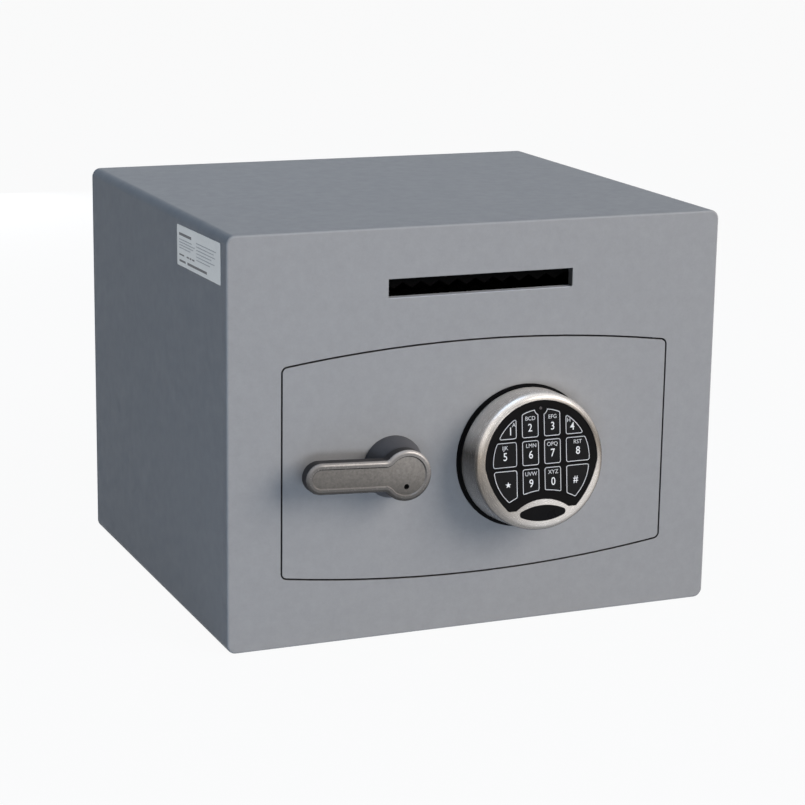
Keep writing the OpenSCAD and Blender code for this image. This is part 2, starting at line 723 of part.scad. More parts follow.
module cover_screws() color(steel) at_posts() {
    y = case_y1 + cover_t;
    r = cover_screw_r;
    rod_y(0, 0, case_y1 - cover_hold, y, r);
    difference() {
        rod_y(0, 0, y, y + cover_head, r * 1.9);
        box([-1.2 * r, y + cover_head / 2, -r / 4], [1.2 * r, y + cover_head + 1, r / 4]);
    }
}

module bolt(len) rotate_extrude()
    polygon([[0, 0], [bolt_r, 0], [bolt_r, len - bolt_bevel], [bolt_r - bolt_bevel, len], [0, len]]);

module dog_bolts() color(steel) for (z = bolt_z)
    translate([case_x1, bolt_y, z]) rotate([0, 90, 0]) bolt(door_hw + dog_reach - case_x1);

module guide_studs() color(steel) for (p = [[stud_x, arm_z[0]], [stud_x, arm_z[1]], [stud_x2, arm_z[0]]]) {
    rod_y(p[0], p[1], yp, carr_y1 + stud_gap, stud_r);
    rod_y(p[0], p[1], carr_y1 + stud_gap, carr_y1 + stud_gap + stud_head, stud_r + stud_lap);
}

module lock_case() color([0.55, 0.55, 0.54]) difference() {
    box([lock_x - lock_w / 2, lock_y, lock_z0], [lock_x + lock_w / 2, lock_y1, lock_z0 + lock_h]);
    box([lb_x0 - lb_play, lb_y - lb_d / 2 - lb_play, lock_z0 - 1],
        [lb_x0 + lb_w + lb_play, lb_y + lb_d / 2 + lb_play, lock_z0 + lb_in + 1]);
    rod_y(pad_x, ring_z, lock_y - 1, lock_y + 2, tube_bore);
    lock_bores(lock_y - 1, lock_y1 + 1, lock_screw_r + fit);
}

module lock_lid() color([0.6, 0.6, 0.59]) difference() {
    box([lock_x - lock_w / 2, lock_y1, lock_z0], [lock_x + lock_w / 2, lock_y1 + lid_t, lock_z0 + lock_h]);
    lock_bores(lock_y1 - 1, lock_y1 + lid_t + 1, lock_screw_r + fit);
}

module lock_screws() color(steel) at_lock_screws() {
    rod_y(0, 0, yp - plate_t / 2, lock_y1 + lid_t, lock_screw_r);
    rod_y(0, 0, lock_y1 + lid_t, lock_y1 + lid_t + 2.5, lock_screw_r + 1.8);
}

module lever_boss() color(slate) translate([lever_x, yf, lever_z]) rotate([90, 0, 0]) rotate_extrude() {
    bore = spin_r + spin_clear;
    polygon([[bore, 0], [boss_r, 0], [boss_r, boss_foot], [boss_top, boss_h], [bore, boss_h]]);
}

module cable_tube() color(steel) difference() {
    rod_y(pad_x, ring_z, yf - ring_t - 5, lock_y, tube_r);
    rod_y(pad_x, ring_z, yf - ring_t - 6, lock_y + 1, tube_bore);
}

// The keypad on the door
module on_pad() translate([pad_x, yf - pad_h, pad_z]) rotate([90 - pad_tilt, 0, 0]) children();
// A plate between two heights over the face
module plate(w0, w1) translate([0, 0, w0]) linear_extrude(height = w1 - w0) children();

module oval(a, b) {
    e = 3;
    r = (pow(a - e, 2) + b * b - e * e) / (2 * (b - e));
    t = asin((a - e) / (r - e));
    half = concat(arc(a - e, 0, e, t - 90, 90 - t, 12), arc(0, b - r, r, 90 - t, 90 + t, 24));
    polygon(concat(half, [for (p = half) -p]));
}

module pad_ring() color(black) difference() {
    union() {
        rod_y(pad_x, ring_z, yf - ring_foot, yf, ring_r);
        rod_y(pad_x, ring_z, yf - ring_t, yf, ring_r - ring_step);
    }
    rod_y(pad_x, ring_z, yf - ring_t - 1, yf + 1, tube_r + fit);
}

module pad_housing() color(nickel) difference() {
    on_pad() difference() {
        rotate_extrude() {
            translate([0, -pad_foot]) square([pad_r, pad_foot + face_in - pad_round]);
            translate([0, -pad_foot]) square([pad_r - pad_round, pad_foot + face_in]);
            translate([pad_r - pad_round, face_in - pad_round]) difference() {
                circle(pad_round);
                translate([-pad_r, -pad_r]) square([pad_r, 2 * pad_r]);
            }
        }
        translate([0, 0, -pad_foot - 9]) cylinder(h = pad_foot + 9.4 + board_z, r = pad_r - pad_wall);
        translate([0, 0, -pad_foot - 9])
            cylinder(h = pad_foot + 9 + face_in - pad_top, r = face_r + face_lap + 0.3);
        plate(-pad_top - 1, 3) polygon(ease(grown(face_pts(), face_play), 1));
        plate(face_in - 0.6, 3) translate([0, -oval_drop]) oval(oval_a + 0.1, oval_b + 0.1);
    }
    box([pad_x - 2 * pad_r, yf - ring_t, pad_z - 3 * pad_r],
        [pad_x + 2 * pad_r, yf + pad_foot + 9, pad_z + 3 * pad_r]);
}

module pad_face() color(black) on_pad() difference() {
    union() {
        plate(-face_t, 0) polygon(ease(face_pts(), 1));
        plate(-2 * face_t, -face_t) polygon(ease(grown(face_pts(), face_lap), 1));
    }
    for (k = KEYS) plate(-2 * face_t - 1, 1) polygon(ease(key_pts(k, key_gap), key_round + 0.2));
    translate([0, led_v, -2 * face_t - 1]) cylinder(h = 5, r = 1.3);
}

module pad_oval() color(black) on_pad()
    plate(face_in - 0.6, face_in + 0.3) translate([0, -oval_drop]) oval(oval_a, oval_b);

module pad_led() color([0.5, 0.1, 0.1]) on_pad()
    translate([0, led_v, board_z]) cylinder(h = 0.3 - board_z, r = 1.2);

module pad_board() color([0.1, 0.3, 0.15]) on_pad()
    plate(board_z - 1.6, board_z) circle(pad_r - pad_wall - 0.4);

module key(k) color(black) on_pad() {
    plate(key_back, key_proud) polygon(ease(key_pts(k, 0), key_round));
    plate(key_back - flange_t, key_back) polygon(ease(key_pts(k, key_lip), key_round));
}

// The lever and what turns with it
// Half section of a disc or arm of half width r, its front edge rounded
module edge2d(r) {
    f = lever_round;
    b = 1;
    square([r - f, lever_t]);
    translate([0, b]) square([r, lever_t - f - b]);
    square([r - b, lever_t - f]);
    translate([r - f, lever_t - f]) circle(f);
    translate([r - b, b]) circle(b);
}
module edge2d_full(r) {
    edge2d(r);
    mirror([1, 0]) edge2d(r);
}
// What the web leaves open: a round gap that flares at its front and back edges
module web_gap() rotate_extrude() difference() {
    square([web_r + lever_round, lever_t]);
    translate([web_r, 1]) square([lever_round + 1, lever_t - lever_round - 1]);
    translate([web_r + lever_round, lever_t - lever_round]) circle(lever_round);
    translate([web_r + 1, 1]) circle(1);
    translate([web_r + 1, 0]) square([lever_round, lever_t - lever_round]);
}
// The lever's outline drawn in by g, for the sunk panel
module lever_flat(g) {
    tip = arm_len - arm_h / 2;
    circle(hub_r - g);
    translate([-tip, -arm_h / 2 + g]) square([tip, arm_h - 2 * g]);
    translate([-tip, 0]) circle(arm_h / 2 - g);
    difference() {
        polygon([[0, 0], [-web_x, arm_h / 2 + web_r], [-web_x, -arm_h / 2 - web_r]]);
        for (s = [-1, 1]) translate([-web_x, s * (arm_h / 2 + web_r)]) circle(web_r + g);
    }
}
module on_lever()
    translate([lever_x, lever_y, lever_z]) rotate([90, 0, 0]) rotate([0, 0, -lever_slant]) children();

module lever_panel() translate([0, 0, lever_t - panel_in]) linear_extrude(height = 2) lever_flat(rim_w);

module lever() color(nickel) on_lever() {
    tip = arm_len - arm_h / 2;
    c = [-web_x, arm_h / 2 + web_r];
    difference() {
        rotate_extrude() edge2d(hub_r);
        lever_panel();
        translate([0, 0, -1]) cylinder(h = bore_in + 1, r = spin_r + fit);
        translate([0, -hole_drop, bore_in + 0.4]) cylinder(h = lever_t, r = hole_r);
    }
    difference() {
        linear_extrude(height = lever_t) polygon([c / 2, c, [c[0], -c[1]], [c[0], -c[1]] / 2]);
        for (s = [-1, 1]) translate([c[0], s * c[1], 0]) web_gap();
        lever_panel();
    }
    difference() {
        union() {
            translate([-tip, 0, 0]) rotate([90, 0, 90])
                linear_extrude(height = tip - web_x) edge2d_full(arm_h / 2);
            translate([-tip, 0, 0]) rotate([0, 0, 90]) rotate_extrude(angle = 180) edge2d(arm_h / 2);
        }
        lever_panel();
    }
}

module lever_screw() color(slate) on_lever() translate([0, -hole_drop, bore_in + 0.4]) difference() {
    cylinder(h = 0.9, r = hole_r - 0.1);
    translate([0, 0, 0.3]) cylinder(h = 2, r = 1.2, $fn = 6);
}

module spindle() color(steel) {
    rod_y(lever_x, lever_z, lever_y - bore_in, cam_y, spin_r);
    translate([lever_x, cam_y + cam_t / 2, lever_z]) cube([sq, cam_t, sq], center = true);
    rod_y(lever_x, lever_z, cam_y + cam_t, cam_y + cam_t + 9, thread_r);
}

module cam() color(steel) slab(cam_y, cam_t) translate([lever_x, lever_z]) difference() {
    circle(cam_or);
    polygon(concat([for (i = [0:24]) cam_edge(i / 24, 1)], cam_cap(1, 1),
        [for (i = [24:-1:0]) cam_edge(i / 24, -1)], cam_cap(0, -1)));
    square(sq + 0.1, center = true);
}

module cam_nut() color(steel) difference() {
    translate([lever_x, cam_y + cam_t + 6.5, lever_z]) rotate([90, 0, 0])
        cylinder(h = 6.5, r = 8.5 / cos(30), $fn = 6);
    rod_y(lever_x, lever_z, cam_y + cam_t - 1, cam_y + cam_t + 8, thread_r + fit);
}

// The bolt work behind the door
// A slot for a stud of radius r at (x, z), long enough for the bolts' travel
module run_slot(x, z, r) {
    translate([x, z - r]) square([bolt_throw, 2 * r]);
    for (dx = [0, bolt_throw]) translate([x + dx, z]) circle(r);
}

module bolt_carriage() color(steel) {
    lo = arm_z[0] - arm_w / 2;
    hi = arm_z[1] + arm_w / 2;
    ramp_x0 = lb_x0 - 8;
    ramp_x1 = lb_x0 + lb_w + bolt_throw + 4;
    difference() {
        slab(carr_y, carr_t) difference() {
            union() {
                translate([flange_x, lo]) square([stud_x - slot_r - 2 - flange_x, hi - lo]);
                translate([flange_x, lo]) square([ramp_x0 - flange_x, arm_w]);
                translate([flange_x, hi - arm_w])
                    square([stud_x + slot_r + bolt_throw + 5 - flange_x, arm_w]);
                translate([flange_x, lever_z - web_hh])
                    square([lever_x + bolt_throw + spin_r + 7 - flange_x, 2 * web_hh]);
            }
            run_slot(stud_x, arm_z[0], slot_r);
            run_slot(stud_x, arm_z[1], slot_r);
            run_slot(stud_x2, arm_z[0], slot_r);
            run_slot(lever_x, lever_z, spin_r + 0.6);
        }
        rod_y(lever_x - cam_r0, lever_z, carr_y - 1, carr_y1 + 1, cam_pin_r + fit);
    }
    box([flange_x, carr_y1, lo], [flange_x + carr_t, flange_y1, hi]);
    slab(carr_y, lb_y + lb_d / 2 + 1 - carr_y)
        polygon([[ramp_x0, lo], [ramp_x1, lo], [ramp_x1, ramp(ramp_x1)], [lb_x0, ramp_z], [ramp_x0, ramp_z]]);
}

module locking_bolts() color(steel) for (z = bolt_z)
    translate([flange_x, bolt_y, z]) rotate([0, -90, 0]) bolt(bolt_len);

module cam_pin() color(steel) rod_y(lever_x - cam_r0, lever_z, carr_y, cam_y + cam_t, cam_pin_r);

module lock_bolt() color([0.75, 0.65, 0.35]) slab(lb_y - lb_d / 2, lb_d)
    polygon([[lb_x0, ramp(lb_x0) + lb_play], [lb_x0 + lb_w, ramp(lb_x0 + lb_w) + lb_play],
        [lb_x0 + lb_w, lock_z0 + lb_in], [lb_x0, lock_z0 + lb_in]]);

front_plate();
body_wrap();
back_plate();
barrier_fill();
liner();
floor_mat();
hinge_pins();
chute();
baffle();
comb_upper();
comb_lower();
anchor_sleeves();
anchor_plugs();
side_label();
door_plate();
hard_plate();
door_case();
case_cover();
cover_screws();
dog_bolts();
guide_studs();
lock_case();
lock_lid();
lock_screws();
lever_boss();
cable_tube();
pad_ring();
pad_housing();
pad_face();
pad_oval();
pad_led();
pad_board();
lever();
lever_screw();
spindle();
cam();
cam_nut();
bolt_carriage();
locking_bolts();
cam_pin();
lock_bolt();
key("1");  // key_1
key("2");  // key_2
key("3");  // key_3
key("4");  // key_4
key("5");  // key_5
key("6");  // key_6
key("7");  // key_7
key("8");  // key_8
key("9");  // key_9
key("0");  // key_0
key("star");  // key_star
key("hash");  // key_hash
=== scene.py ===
import math

import bmesh
import bpy
from mathutils import Matrix, Vector


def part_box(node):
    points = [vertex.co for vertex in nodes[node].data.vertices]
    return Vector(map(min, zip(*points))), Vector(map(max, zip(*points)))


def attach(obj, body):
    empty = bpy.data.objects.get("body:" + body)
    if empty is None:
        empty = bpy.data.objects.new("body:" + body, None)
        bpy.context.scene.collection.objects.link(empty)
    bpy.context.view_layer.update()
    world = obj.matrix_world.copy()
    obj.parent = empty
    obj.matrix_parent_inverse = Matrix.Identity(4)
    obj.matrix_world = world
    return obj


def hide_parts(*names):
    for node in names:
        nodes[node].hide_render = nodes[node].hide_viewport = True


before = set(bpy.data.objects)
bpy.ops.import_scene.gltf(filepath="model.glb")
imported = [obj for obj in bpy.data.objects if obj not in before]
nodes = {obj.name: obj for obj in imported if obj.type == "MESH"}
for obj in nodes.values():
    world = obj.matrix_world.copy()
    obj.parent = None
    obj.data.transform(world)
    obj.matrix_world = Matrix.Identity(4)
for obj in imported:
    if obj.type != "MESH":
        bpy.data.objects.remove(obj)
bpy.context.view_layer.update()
scene = bpy.context.scene

MM = 0.001
HAIR = 0.01 * MM              # two places nearer than this are one
SPOT_WELD = 0.002 * MM        # the corners of loose triangles are joined within this
SAME_PLANE = math.radians(0.2)        # and triangles that bend less than this are one face
NOISE_LOW, NOISE_HIGH = 0.3, 0.7      # a noise texture hardly leaves this range

plate_low, plate_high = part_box("front_plate")
label_low, label_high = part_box("side_label")
lever_low, lever_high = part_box("lever")
DOOR_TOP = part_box("door_plate")[1].z
FRONT_Y = plate_low.y


# ---------------------------------------------------------------- working by hand

def object_mode():
    if bpy.context.object and bpy.context.object.mode != "OBJECT":
        bpy.ops.object.mode_set(mode="OBJECT")


def pick(*objs):
    """Only these are selected, and the first is active."""
    object_mode()
    bpy.ops.object.select_all(action="DESELECT")
    for obj in objs:
        obj.select_set(True)
    bpy.context.view_layer.objects.active = objs[0]


def edit(obj, mode="FACE"):
    pick(obj)
    bpy.ops.object.mode_set(mode="EDIT")
    bpy.ops.mesh.select_mode(type=mode)


def put_through(obj, matrix):
    """Puts the object's place, turn and size into its mesh, and moves the mesh by a matrix."""
    pick(obj)
    bpy.ops.object.transform_apply(location=True, rotation=True, scale=True)
    obj.data.transform(matrix)
    obj.data.update()


def apply_all(obj):
    pick(obj)
    for mod in list(obj.modifiers):
        bpy.ops.object.modifier_apply(modifier=mod.name)


def raise_plate(height):
    """Gives the flat faces in edit mode a thickness, with every face pointing outwards."""
    bpy.ops.mesh.select_all(action="SELECT")
    bpy.ops.mesh.extrude_region_move(TRANSFORM_OT_translate={"value": (0, 0, height)})
    bpy.ops.mesh.select_all(action="SELECT")
    bpy.ops.mesh.normals_make_consistent(inside=False)
    object_mode()


def round_rim(obj, width, on_rim, segments=3):
    """Rounds only the edges whose two ends lie on the rim, more than the others."""
    rim = obj.vertex_groups.new(name="rim")
    rim.add([v.index for v in obj.data.vertices if on_rim(v.co)], 1.0, "ADD")
    mod = obj.modifiers.new("rim", "BEVEL")
    mod.width = width
    mod.segments = segments
    mod.limit_method = "VGROUP"
    mod.vertex_group = rim.name
    apply_all(obj)


def smoothed(obj, angle):
    """Smooth over the rounds, with the flat faces kept flat."""
    pick(obj)
    bpy.ops.object.shade_smooth_by_angle(angle=math.radians(angle))
    flat = obj.modifiers.new("flats", "WEIGHTED_NORMAL")
    flat.keep_sharp = True
    flat.weight = 100
    apply_all(obj)


def round_edges(obj, width, segments=3, angle=40, smooth=35):
    """Breaks the edges sharper than an angle in degrees, as a file or a mould does."""
    mod = obj.modifiers.new("edges", "BEVEL")
    mod.width = width
    mod.segments = segments
    mod.limit_method = "ANGLE"
    mod.angle_limit = math.radians(angle)
    mod.use_clamp_overlap = True
    apply_all(obj)
    smoothed(obj, smooth)


def clean_copy(node, name, whole=True):
    """A joined copy of a node's loose triangles, its flat faces made whole if asked."""
    obj = bpy.data.objects.new(name, nodes[node].data.copy())
    scene.collection.objects.link(obj)
    edit(obj, "VERT")
    bpy.ops.mesh.select_all(action="SELECT")
    bpy.ops.mesh.remove_doubles(threshold=SPOT_WELD)
    bpy.ops.mesh.customdata_custom_splitnormals_clear()
    if whole:
        bpy.ops.mesh.dissolve_limited(angle_limit=SAME_PLANE)
    object_mode()
    return obj


def dress(obj, materials, body, slot, *stands_for):
    """Gives a piece its materials, its body and the node that it stands for. The slot is not used.
    """
    obj.data.materials.clear()
    for material in materials:
        obj.data.materials.append(material)
    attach(obj, body)
    if stands_for:
        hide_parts(*stands_for)


def softened(node, material, body, slot, width, **rounding):
    """A node's copy with rounded edges, in place of the node."""
    obj = clean_copy(node, node + "_finished")
    round_edges(obj, width, **rounding)
    dress(obj, [material], body, slot, node)
    return obj


# ---------------------------------------------------------------- finishes

def shade(colour, k):
    return tuple(c * k for c in colour)


class Finish:
    """A material on the part's own coordinates, built from a few nodes."""

    def __init__(self, name, colour, rough, metal=0.0, **sockets):
        self.mat = bpy.data.materials.new(name)
        self.mat.use_nodes = True
        self.tree = self.mat.node_tree
        self.bsdf = self.tree.nodes["Principled BSDF"]
        self.bsdf.inputs["Base Color"].default_value = (*colour, 1)
        self.bsdf.inputs["Roughness"].default_value = rough
        self.bsdf.inputs["Metallic"].default_value = metal
        for key, value in sockets.items():
            self.bsdf.inputs[key.replace("_", " ")].default_value = value
        self.place = self.tree.nodes.new("ShaderNodeTexCoord").outputs
        self.coords = self.place["Object"]
        self.height = None

    def link(self, a, b):
        self.tree.links.new(a, b)

    def paint(self, colour):
        self.link(colour, self.bsdf.inputs["Base Color"])

    def stretch(self, scale):
        node = self.tree.nodes.new("ShaderNodeMapping")
        node.inputs["Scale"].default_value = scale
        self.link(self.coords, node.inputs["Vector"])
        return node.outputs["Vector"]

    def split(self, vector):
        node = self.tree.nodes.new("ShaderNodeSeparateXYZ")
        self.link(vector, node.inputs["Vector"])
        return node.outputs

    def noise(self, scale, detail=3, rough=0.5, coords=None):
        node = self.tree.nodes.new("ShaderNodeTexNoise")
        node.inputs["Scale"].default_value = scale
        node.inputs["Detail"].default_value = detail
        node.inputs["Roughness"].default_value = rough
        self.link(coords or self.coords, node.inputs["Vector"])
        return node.outputs["Fac"]

    def fit(self, value, low, high, to_low=0.0, to_high=1.0):
        node = self.tree.nodes.new("ShaderNodeMapRange")
        node.inputs["From Min"].default_value = low
        node.inputs["From Max"].default_value = high
        node.inputs["To Min"].default_value = to_low
        node.inputs["To Max"].default_value = to_high
        self.link(value, node.inputs["Value"])
        return node.outputs["Result"]

    def ramp(self, fac, *stops):
        node = self.tree.nodes.new("ShaderNodeValToRGB")
        ramp = node.color_ramp
        while len(ramp.elements) < len(stops):
            ramp.elements.new(0.5)
        for element, (at, colour) in zip(ramp.elements, stops):
            element.position = at
            element.color = (*colour, 1)
        self.link(fac, node.inputs["Fac"])
        return node.outputs["Color"]

    def greys(self, fac, stops):
        return self.ramp(fac, *[(at, (k, k, k)) for at, k in stops])

    def tones(self, fac, dark, light):
        """A colour that wanders between two tones as the noise goes."""
        return self.ramp(fac, (NOISE_LOW, dark), (NOISE_HIGH, light))

    def blend(self, fac, a, b, kind="MIX"):
        """One colour into the other by a factor, or all of it where no factor is given."""
        node = self.tree.nodes.new("ShaderNodeMix")
        node.data_type = "RGBA"
        node.blend_type = kind
        factor = node.inputs["Factor"]
        first, second = (s for s in node.inputs if s.type == "RGBA")
        if fac is None:
            factor.default_value = 1
        else:
            self.link(fac, factor)
        self.link(a, first)
        self.link(b, second)
        return next(s for s in node.outputs if s.type == "RGBA")

    def times(self, a, b):
        return self.blend(None, a, b, "MULTIPLY")

    def roughness(self, fac, low, high):
        self.link(self.fit(fac, NOISE_LOW, NOISE_HIGH, low, high), self.bsdf.inputs["Roughness"])

    def bump(self, fac, distance, strength):
        node = self.tree.nodes.new("ShaderNodeBump")
        node.inputs["Distance"].default_value = distance
        node.inputs["Strength"].default_value = strength
        self.link(fac, node.inputs["Height"])
        if self.height is not None:
            self.link(self.height, node.inputs["Normal"])
        self.height = node.outputs["Normal"]
        self.link(self.height, self.bsdf.inputs["Normal"])


def powder_coat(name, colour, rough=0.55, gloss=0.16):
    """Textured paint: a fine orange peel, a little cloudiness, hardly any shine."""
    f = Finish(name, colour, rough, Specular_IOR_Level=gloss)
    clouds, patches = f.noise(110, 5, 0.8), f.noise(90)
    peel, swell = f.noise(1100, 2), f.noise(330, 2)
    f.paint(f.tones(clouds, shade(colour, 0.95), shade(colour, 1.05)))
    f.roughness(patches, rough - 0.04, rough + 0.05)
    f.bump(peel, 0.04 * MM, 0.5)
    f.bump(swell, 0.1 * MM, 0.3)
    return f.mat


def plated(name, colour, rough, grain=(1, 1, 1), grain_scale=900, pits=0.0, metal=1.0, gloss=0.5):
    """Satin plating with a fine grain, or a casting with pits."""
    f = Finish(name, colour, rough, metal, Specular_IOR_Level=gloss)
    lay = f.noise(grain_scale, 4, 0.6, f.stretch(grain))
    f.roughness(lay, rough - 0.05, rough + 0.07)
    f.paint(f.tones(f.noise(30), shade(colour, 0.96), shade(colour, 1.03)))
    f.bump(lay, 0.02 * MM, 0.35)
    if pits:
        f.bump(f.noise(420), pits, 0.5)
    return f.mat


def lever_metal(name, colour, rough, cloud, pits, shade_heights):
    """Satin nickel over a casting: cloudy, with painted shade on the faces that turn downwards
    and towards the lever's bottom, and lighter towards the hub.

    The heights are grey stops of painted shade from the bottom of the lever to its top.
    """
    # painted shade by the way each face turns, darkest where it faces down
    facing_shade = [(0.0, 0.05), (0.28, 0.14), (0.43, 0.30), (0.5, 0.5), (0.58, 0.56), (0.72, 0.85),
              (0.88, 1.0)]
    lengths = [(0.0, 0.60), (0.45, 0.70), (0.8, 0.92), (1.0, 1.0)]
    arm_end, hub_edge = -160 * MM, -60 * MM
    f = Finish(name, colour, rough, 0.2)
    up = f.split(f.place["Normal"])["Z"]
    at = f.split(f.coords)
    clouds = f.tones(f.noise(420, 4, 0.7), shade(colour, 1 - cloud), shade(colour, 1 + cloud))
    # painted shade on the faces that turn downwards
    painted_shade_below = f.greys(f.fit(up, -0.8, 0.8), facing_shade)
    # painted shade, darker towards the lever's bottom
    painted_shade_low = f.greys(f.fit(at["Z"], lever_low.z, lever_high.z), shade_heights)
    # lighter towards the hub
    lighter_to_hub = f.greys(f.fit(at["X"], arm_end, hub_edge), lengths)
    f.paint(f.times(f.times(f.times(clouds, painted_shade_below), painted_shade_low), lighter_to_hub))
    f.roughness(f.noise(700, 2), rough - 0.05, rough + 0.07)
    if pits:
        f.bump(f.noise(800), pits, 0.6)
    return f.mat


def turned_with_painted_sheen(name, side, rim, top):
    """Plating brushed in rings: a side, a rim and a top, each with bands of painted highlight
    and reflection round the keypad, over the grain of the turned metal.

    Each band is an angle in degrees round the keypad from its top, how light it is, and how
    much blue is left in it, both painted highlight and reflection. The map holds the angle and
    the way in from the side over the rim.
    """
    f = Finish(name, (0.8, 0.8, 0.8), 0.25, 0.62)
    f.coords = f.place["UV"]
    ring = f.split(f.coords)
    way_round = f.fit(ring["X"], -math.pi, math.pi)
    way_in = ring["Y"]

    def painted_bands(stops):
        return f.ramp(way_round, *[((at + 180) / 360, (k, k * (0.5 + blue / 2), k * blue))
                                   for at, k, blue in stops])

    onto_rim = f.fit(way_in, -7.5 * MM, -4.5 * MM)
    onto_top = f.fit(way_in, 2 * MM, 5.5 * MM)
    # the side, rim and top bands are painted highlight and reflection
    whole = f.blend(onto_rim, painted_bands(side), f.blend(onto_top, painted_bands(rim), painted_bands(top)))
    lines = f.noise(1, 5, 0.7, f.stretch((6, 2600, 1)))
    f.paint(f.times(whole, f.tones(lines, (0.9, 0.9, 0.9), (1, 1, 1))))
    f.link(f.fit(way_in, -26 * MM, -4 * MM, 0.2, 0.62), f.bsdf.inputs["Metallic"])
    f.roughness(lines, 0.20, 0.30)
    f.bump(lines, 0.02 * MM, 0.3)
    return f.mat


def moulded(name, colour, rough, grain=0.03 * MM, scale=1400, gloss=0.3):
    """Rubber, plastic, felt or fill, with a moulded grain of a given depth."""
    f = Finish(name, colour, rough, Specular_IOR_Level=gloss)
    f.paint(f.tones(f.noise(25), shade(colour, 0.9), shade(colour, 1.15)))
    f.roughness(f.noise(80, 2), rough - 0.04, rough + 0.05)
    f.bump(f.noise(scale, 2), grain, 0.4)
    return f.mat


def print_ink(name, colour, rough=0.5):
    f = Finish(name, colour, rough)
    f.paint(f.tones(f.noise(1500, 2), shade(colour, 0.93), colour))
    return f.mat


GREY = (0.298, 0.296, 0.299)
coat = powder_coat("cabinet_coat", GREY)
# painted highlight for the front plate's rounded rim
rim_highlight_coat = powder_coat("rim_highlight_coat", shade(GREY, 1.16))
# painted highlight for the slot's lower lip
lip_highlight_coat = powder_coat("lip_highlight_coat", (0.50, 0.52, 0.56))
# painted shade for the walls of the gap round the door and for the slot's two ends
gap_shade_coat = powder_coat("gap_shade_coat", (0.085, 0.080, 0.077), 0.6, 0.05)
inner_coat = powder_coat("inner_coat", (0.20, 0.205, 0.22))
# near black with no shine, far darker than the liner: painted shade inside the slot
chute_shade_coat = powder_coat("chute_shade_coat", (0.0035, 0.0033, 0.0032), 0.8, 0.0)
boss_coat = powder_coat("boss_coat", (0.085, 0.085, 0.093), 0.5)

# the bands of lightness and blue round the keypad are painted highlight and reflection
keypad_plating_and_sheen = turned_with_painted_sheen(
    "keypad_plating_and_sheen",
    side=[(-180, 0.34, 0.86), (-125, 0.50, 0.84), (-81, 0.12, 0.66), (-62, 0.86, 0.80),
          (20, 0.93, 0.88), (90, 0.7, 0.88), (180, 0.34, 0.86)],
    rim=[(-180, 0.25, 0.90), (-150, 0.27, 0.88), (-105, 0.22, 0.76), (-82, 0.41, 0.69),
         (-64, 0.95, 0.82), (-20, 0.94, 0.90), (5, 0.84, 0.91), (40, 0.71, 0.88),
         (60, 0.47, 0.82), (80, 0.165, 0.62), (108, 0.30, 0.75), (180, 0.25, 0.93)],
    top=[(-180, 0.64, 0.91), (-140, 0.34, 0.85), (-120, 0.22, 0.84), (-80, 0.32, 0.74),
         (-58, 0.41, 0.84), (-42, 0.59, 0.90), (-18, 0.31, 0.91), (2, 0.22, 0.90),
         (20, 0.15, 0.88), (40, 0.075, 0.83), (60, 0.085, 0.80), (80, 0.26, 0.74),
         (105, 0.64, 0.86), (180, 0.64, 0.91)])
# the last stops are painted shade, darker towards the lever's bottom
lever_nickel = lever_metal("lever_plating", (0.445, 0.408, 0.379), 0.22, 0.05, 0,
                           [(0.1, 0.42), (0.72, 1.0)])
lever_panel = lever_metal("lever_panel", (0.460, 0.418, 0.374), 0.42, 0.24, 0.08 * MM,
                          [(0.12, 0.30), (0.33, 0.54), (0.55, 0.78), (0.66, 0.87), (0.85, 1.0)])
# painted shade: the lever's sides drawn near black, far darker than its plating
lever_side_shade = plated("lever_side_shade", (0.045, 0.042, 0.043), 0.6, pits=0.05 * MM, metal=0.0,
                     gloss=0.1)
steel = plated("bare_steel", (0.52, 0.52, 0.51), 0.33, (8, 1, 1), 400)
zinc = plated("cast_zinc", (0.42, 0.42, 0.42), 0.5, grain_scale=700, pits=0.06 * MM)
bronze = plated("bronze", (0.55, 0.40, 0.17), 0.35, (1, 1, 6), 400)
dark_screw = plated("dark_screw", (0.05, 0.05, 0.05), 0.4)
foil = plated("label_foil", (0.59, 0.62, 0.63), 0.42, grain_scale=500, pits=0.01 * MM, metal=0.5)

black_rubber = moulded("base_ring_black", (0.003, 0.003, 0.0033), 0.55, gloss=0.035)
face_black = moulded("face_black", (0.0035, 0.0033, 0.0035), 0.42, gloss=0.05)
key_black = moulded("key_black", (0.006, 0.006, 0.0065), 0.4, gloss=0.08)
plate_black = moulded("plate_black", (0.0035, 0.0035, 0.004), 0.3, 0.01 * MM, gloss=0.06)
# black with no shine for the screw deep in the lever's hole: painted shade in the hole
pit_shade_black = moulded("pit_shade_black", (0.003, 0.003, 0.003), 0.8, gloss=0.0)
led_lens = moulded("led_lens", (0.07, 0.06, 0.06), 0.3, 0.01 * MM)
board_green = moulded("board_green", (0.02, 0.10, 0.04), 0.4)
mat_felt = moulded("floor_mat", (0.03, 0.03, 0.032), 0.9, 0.3 * MM, 500)
poured_fill = moulded("poured_fill", (0.40, 0.38, 0.35), 0.9, 0.4 * MM, 300)

legend_white = print_ink("legend_white", (0.80, 0.80, 0.80))
outline_white = print_ink("outline_white", (0.66, 0.66, 0.67))
letter_white = print_ink("letter_white", (0.62, 0.62, 0.63))
label_ink = print_ink("label_print", (0.10, 0.105, 0.115))
label_fine_ink = print_ink("label_fine_print", (0.33, 0.35, 0.375))

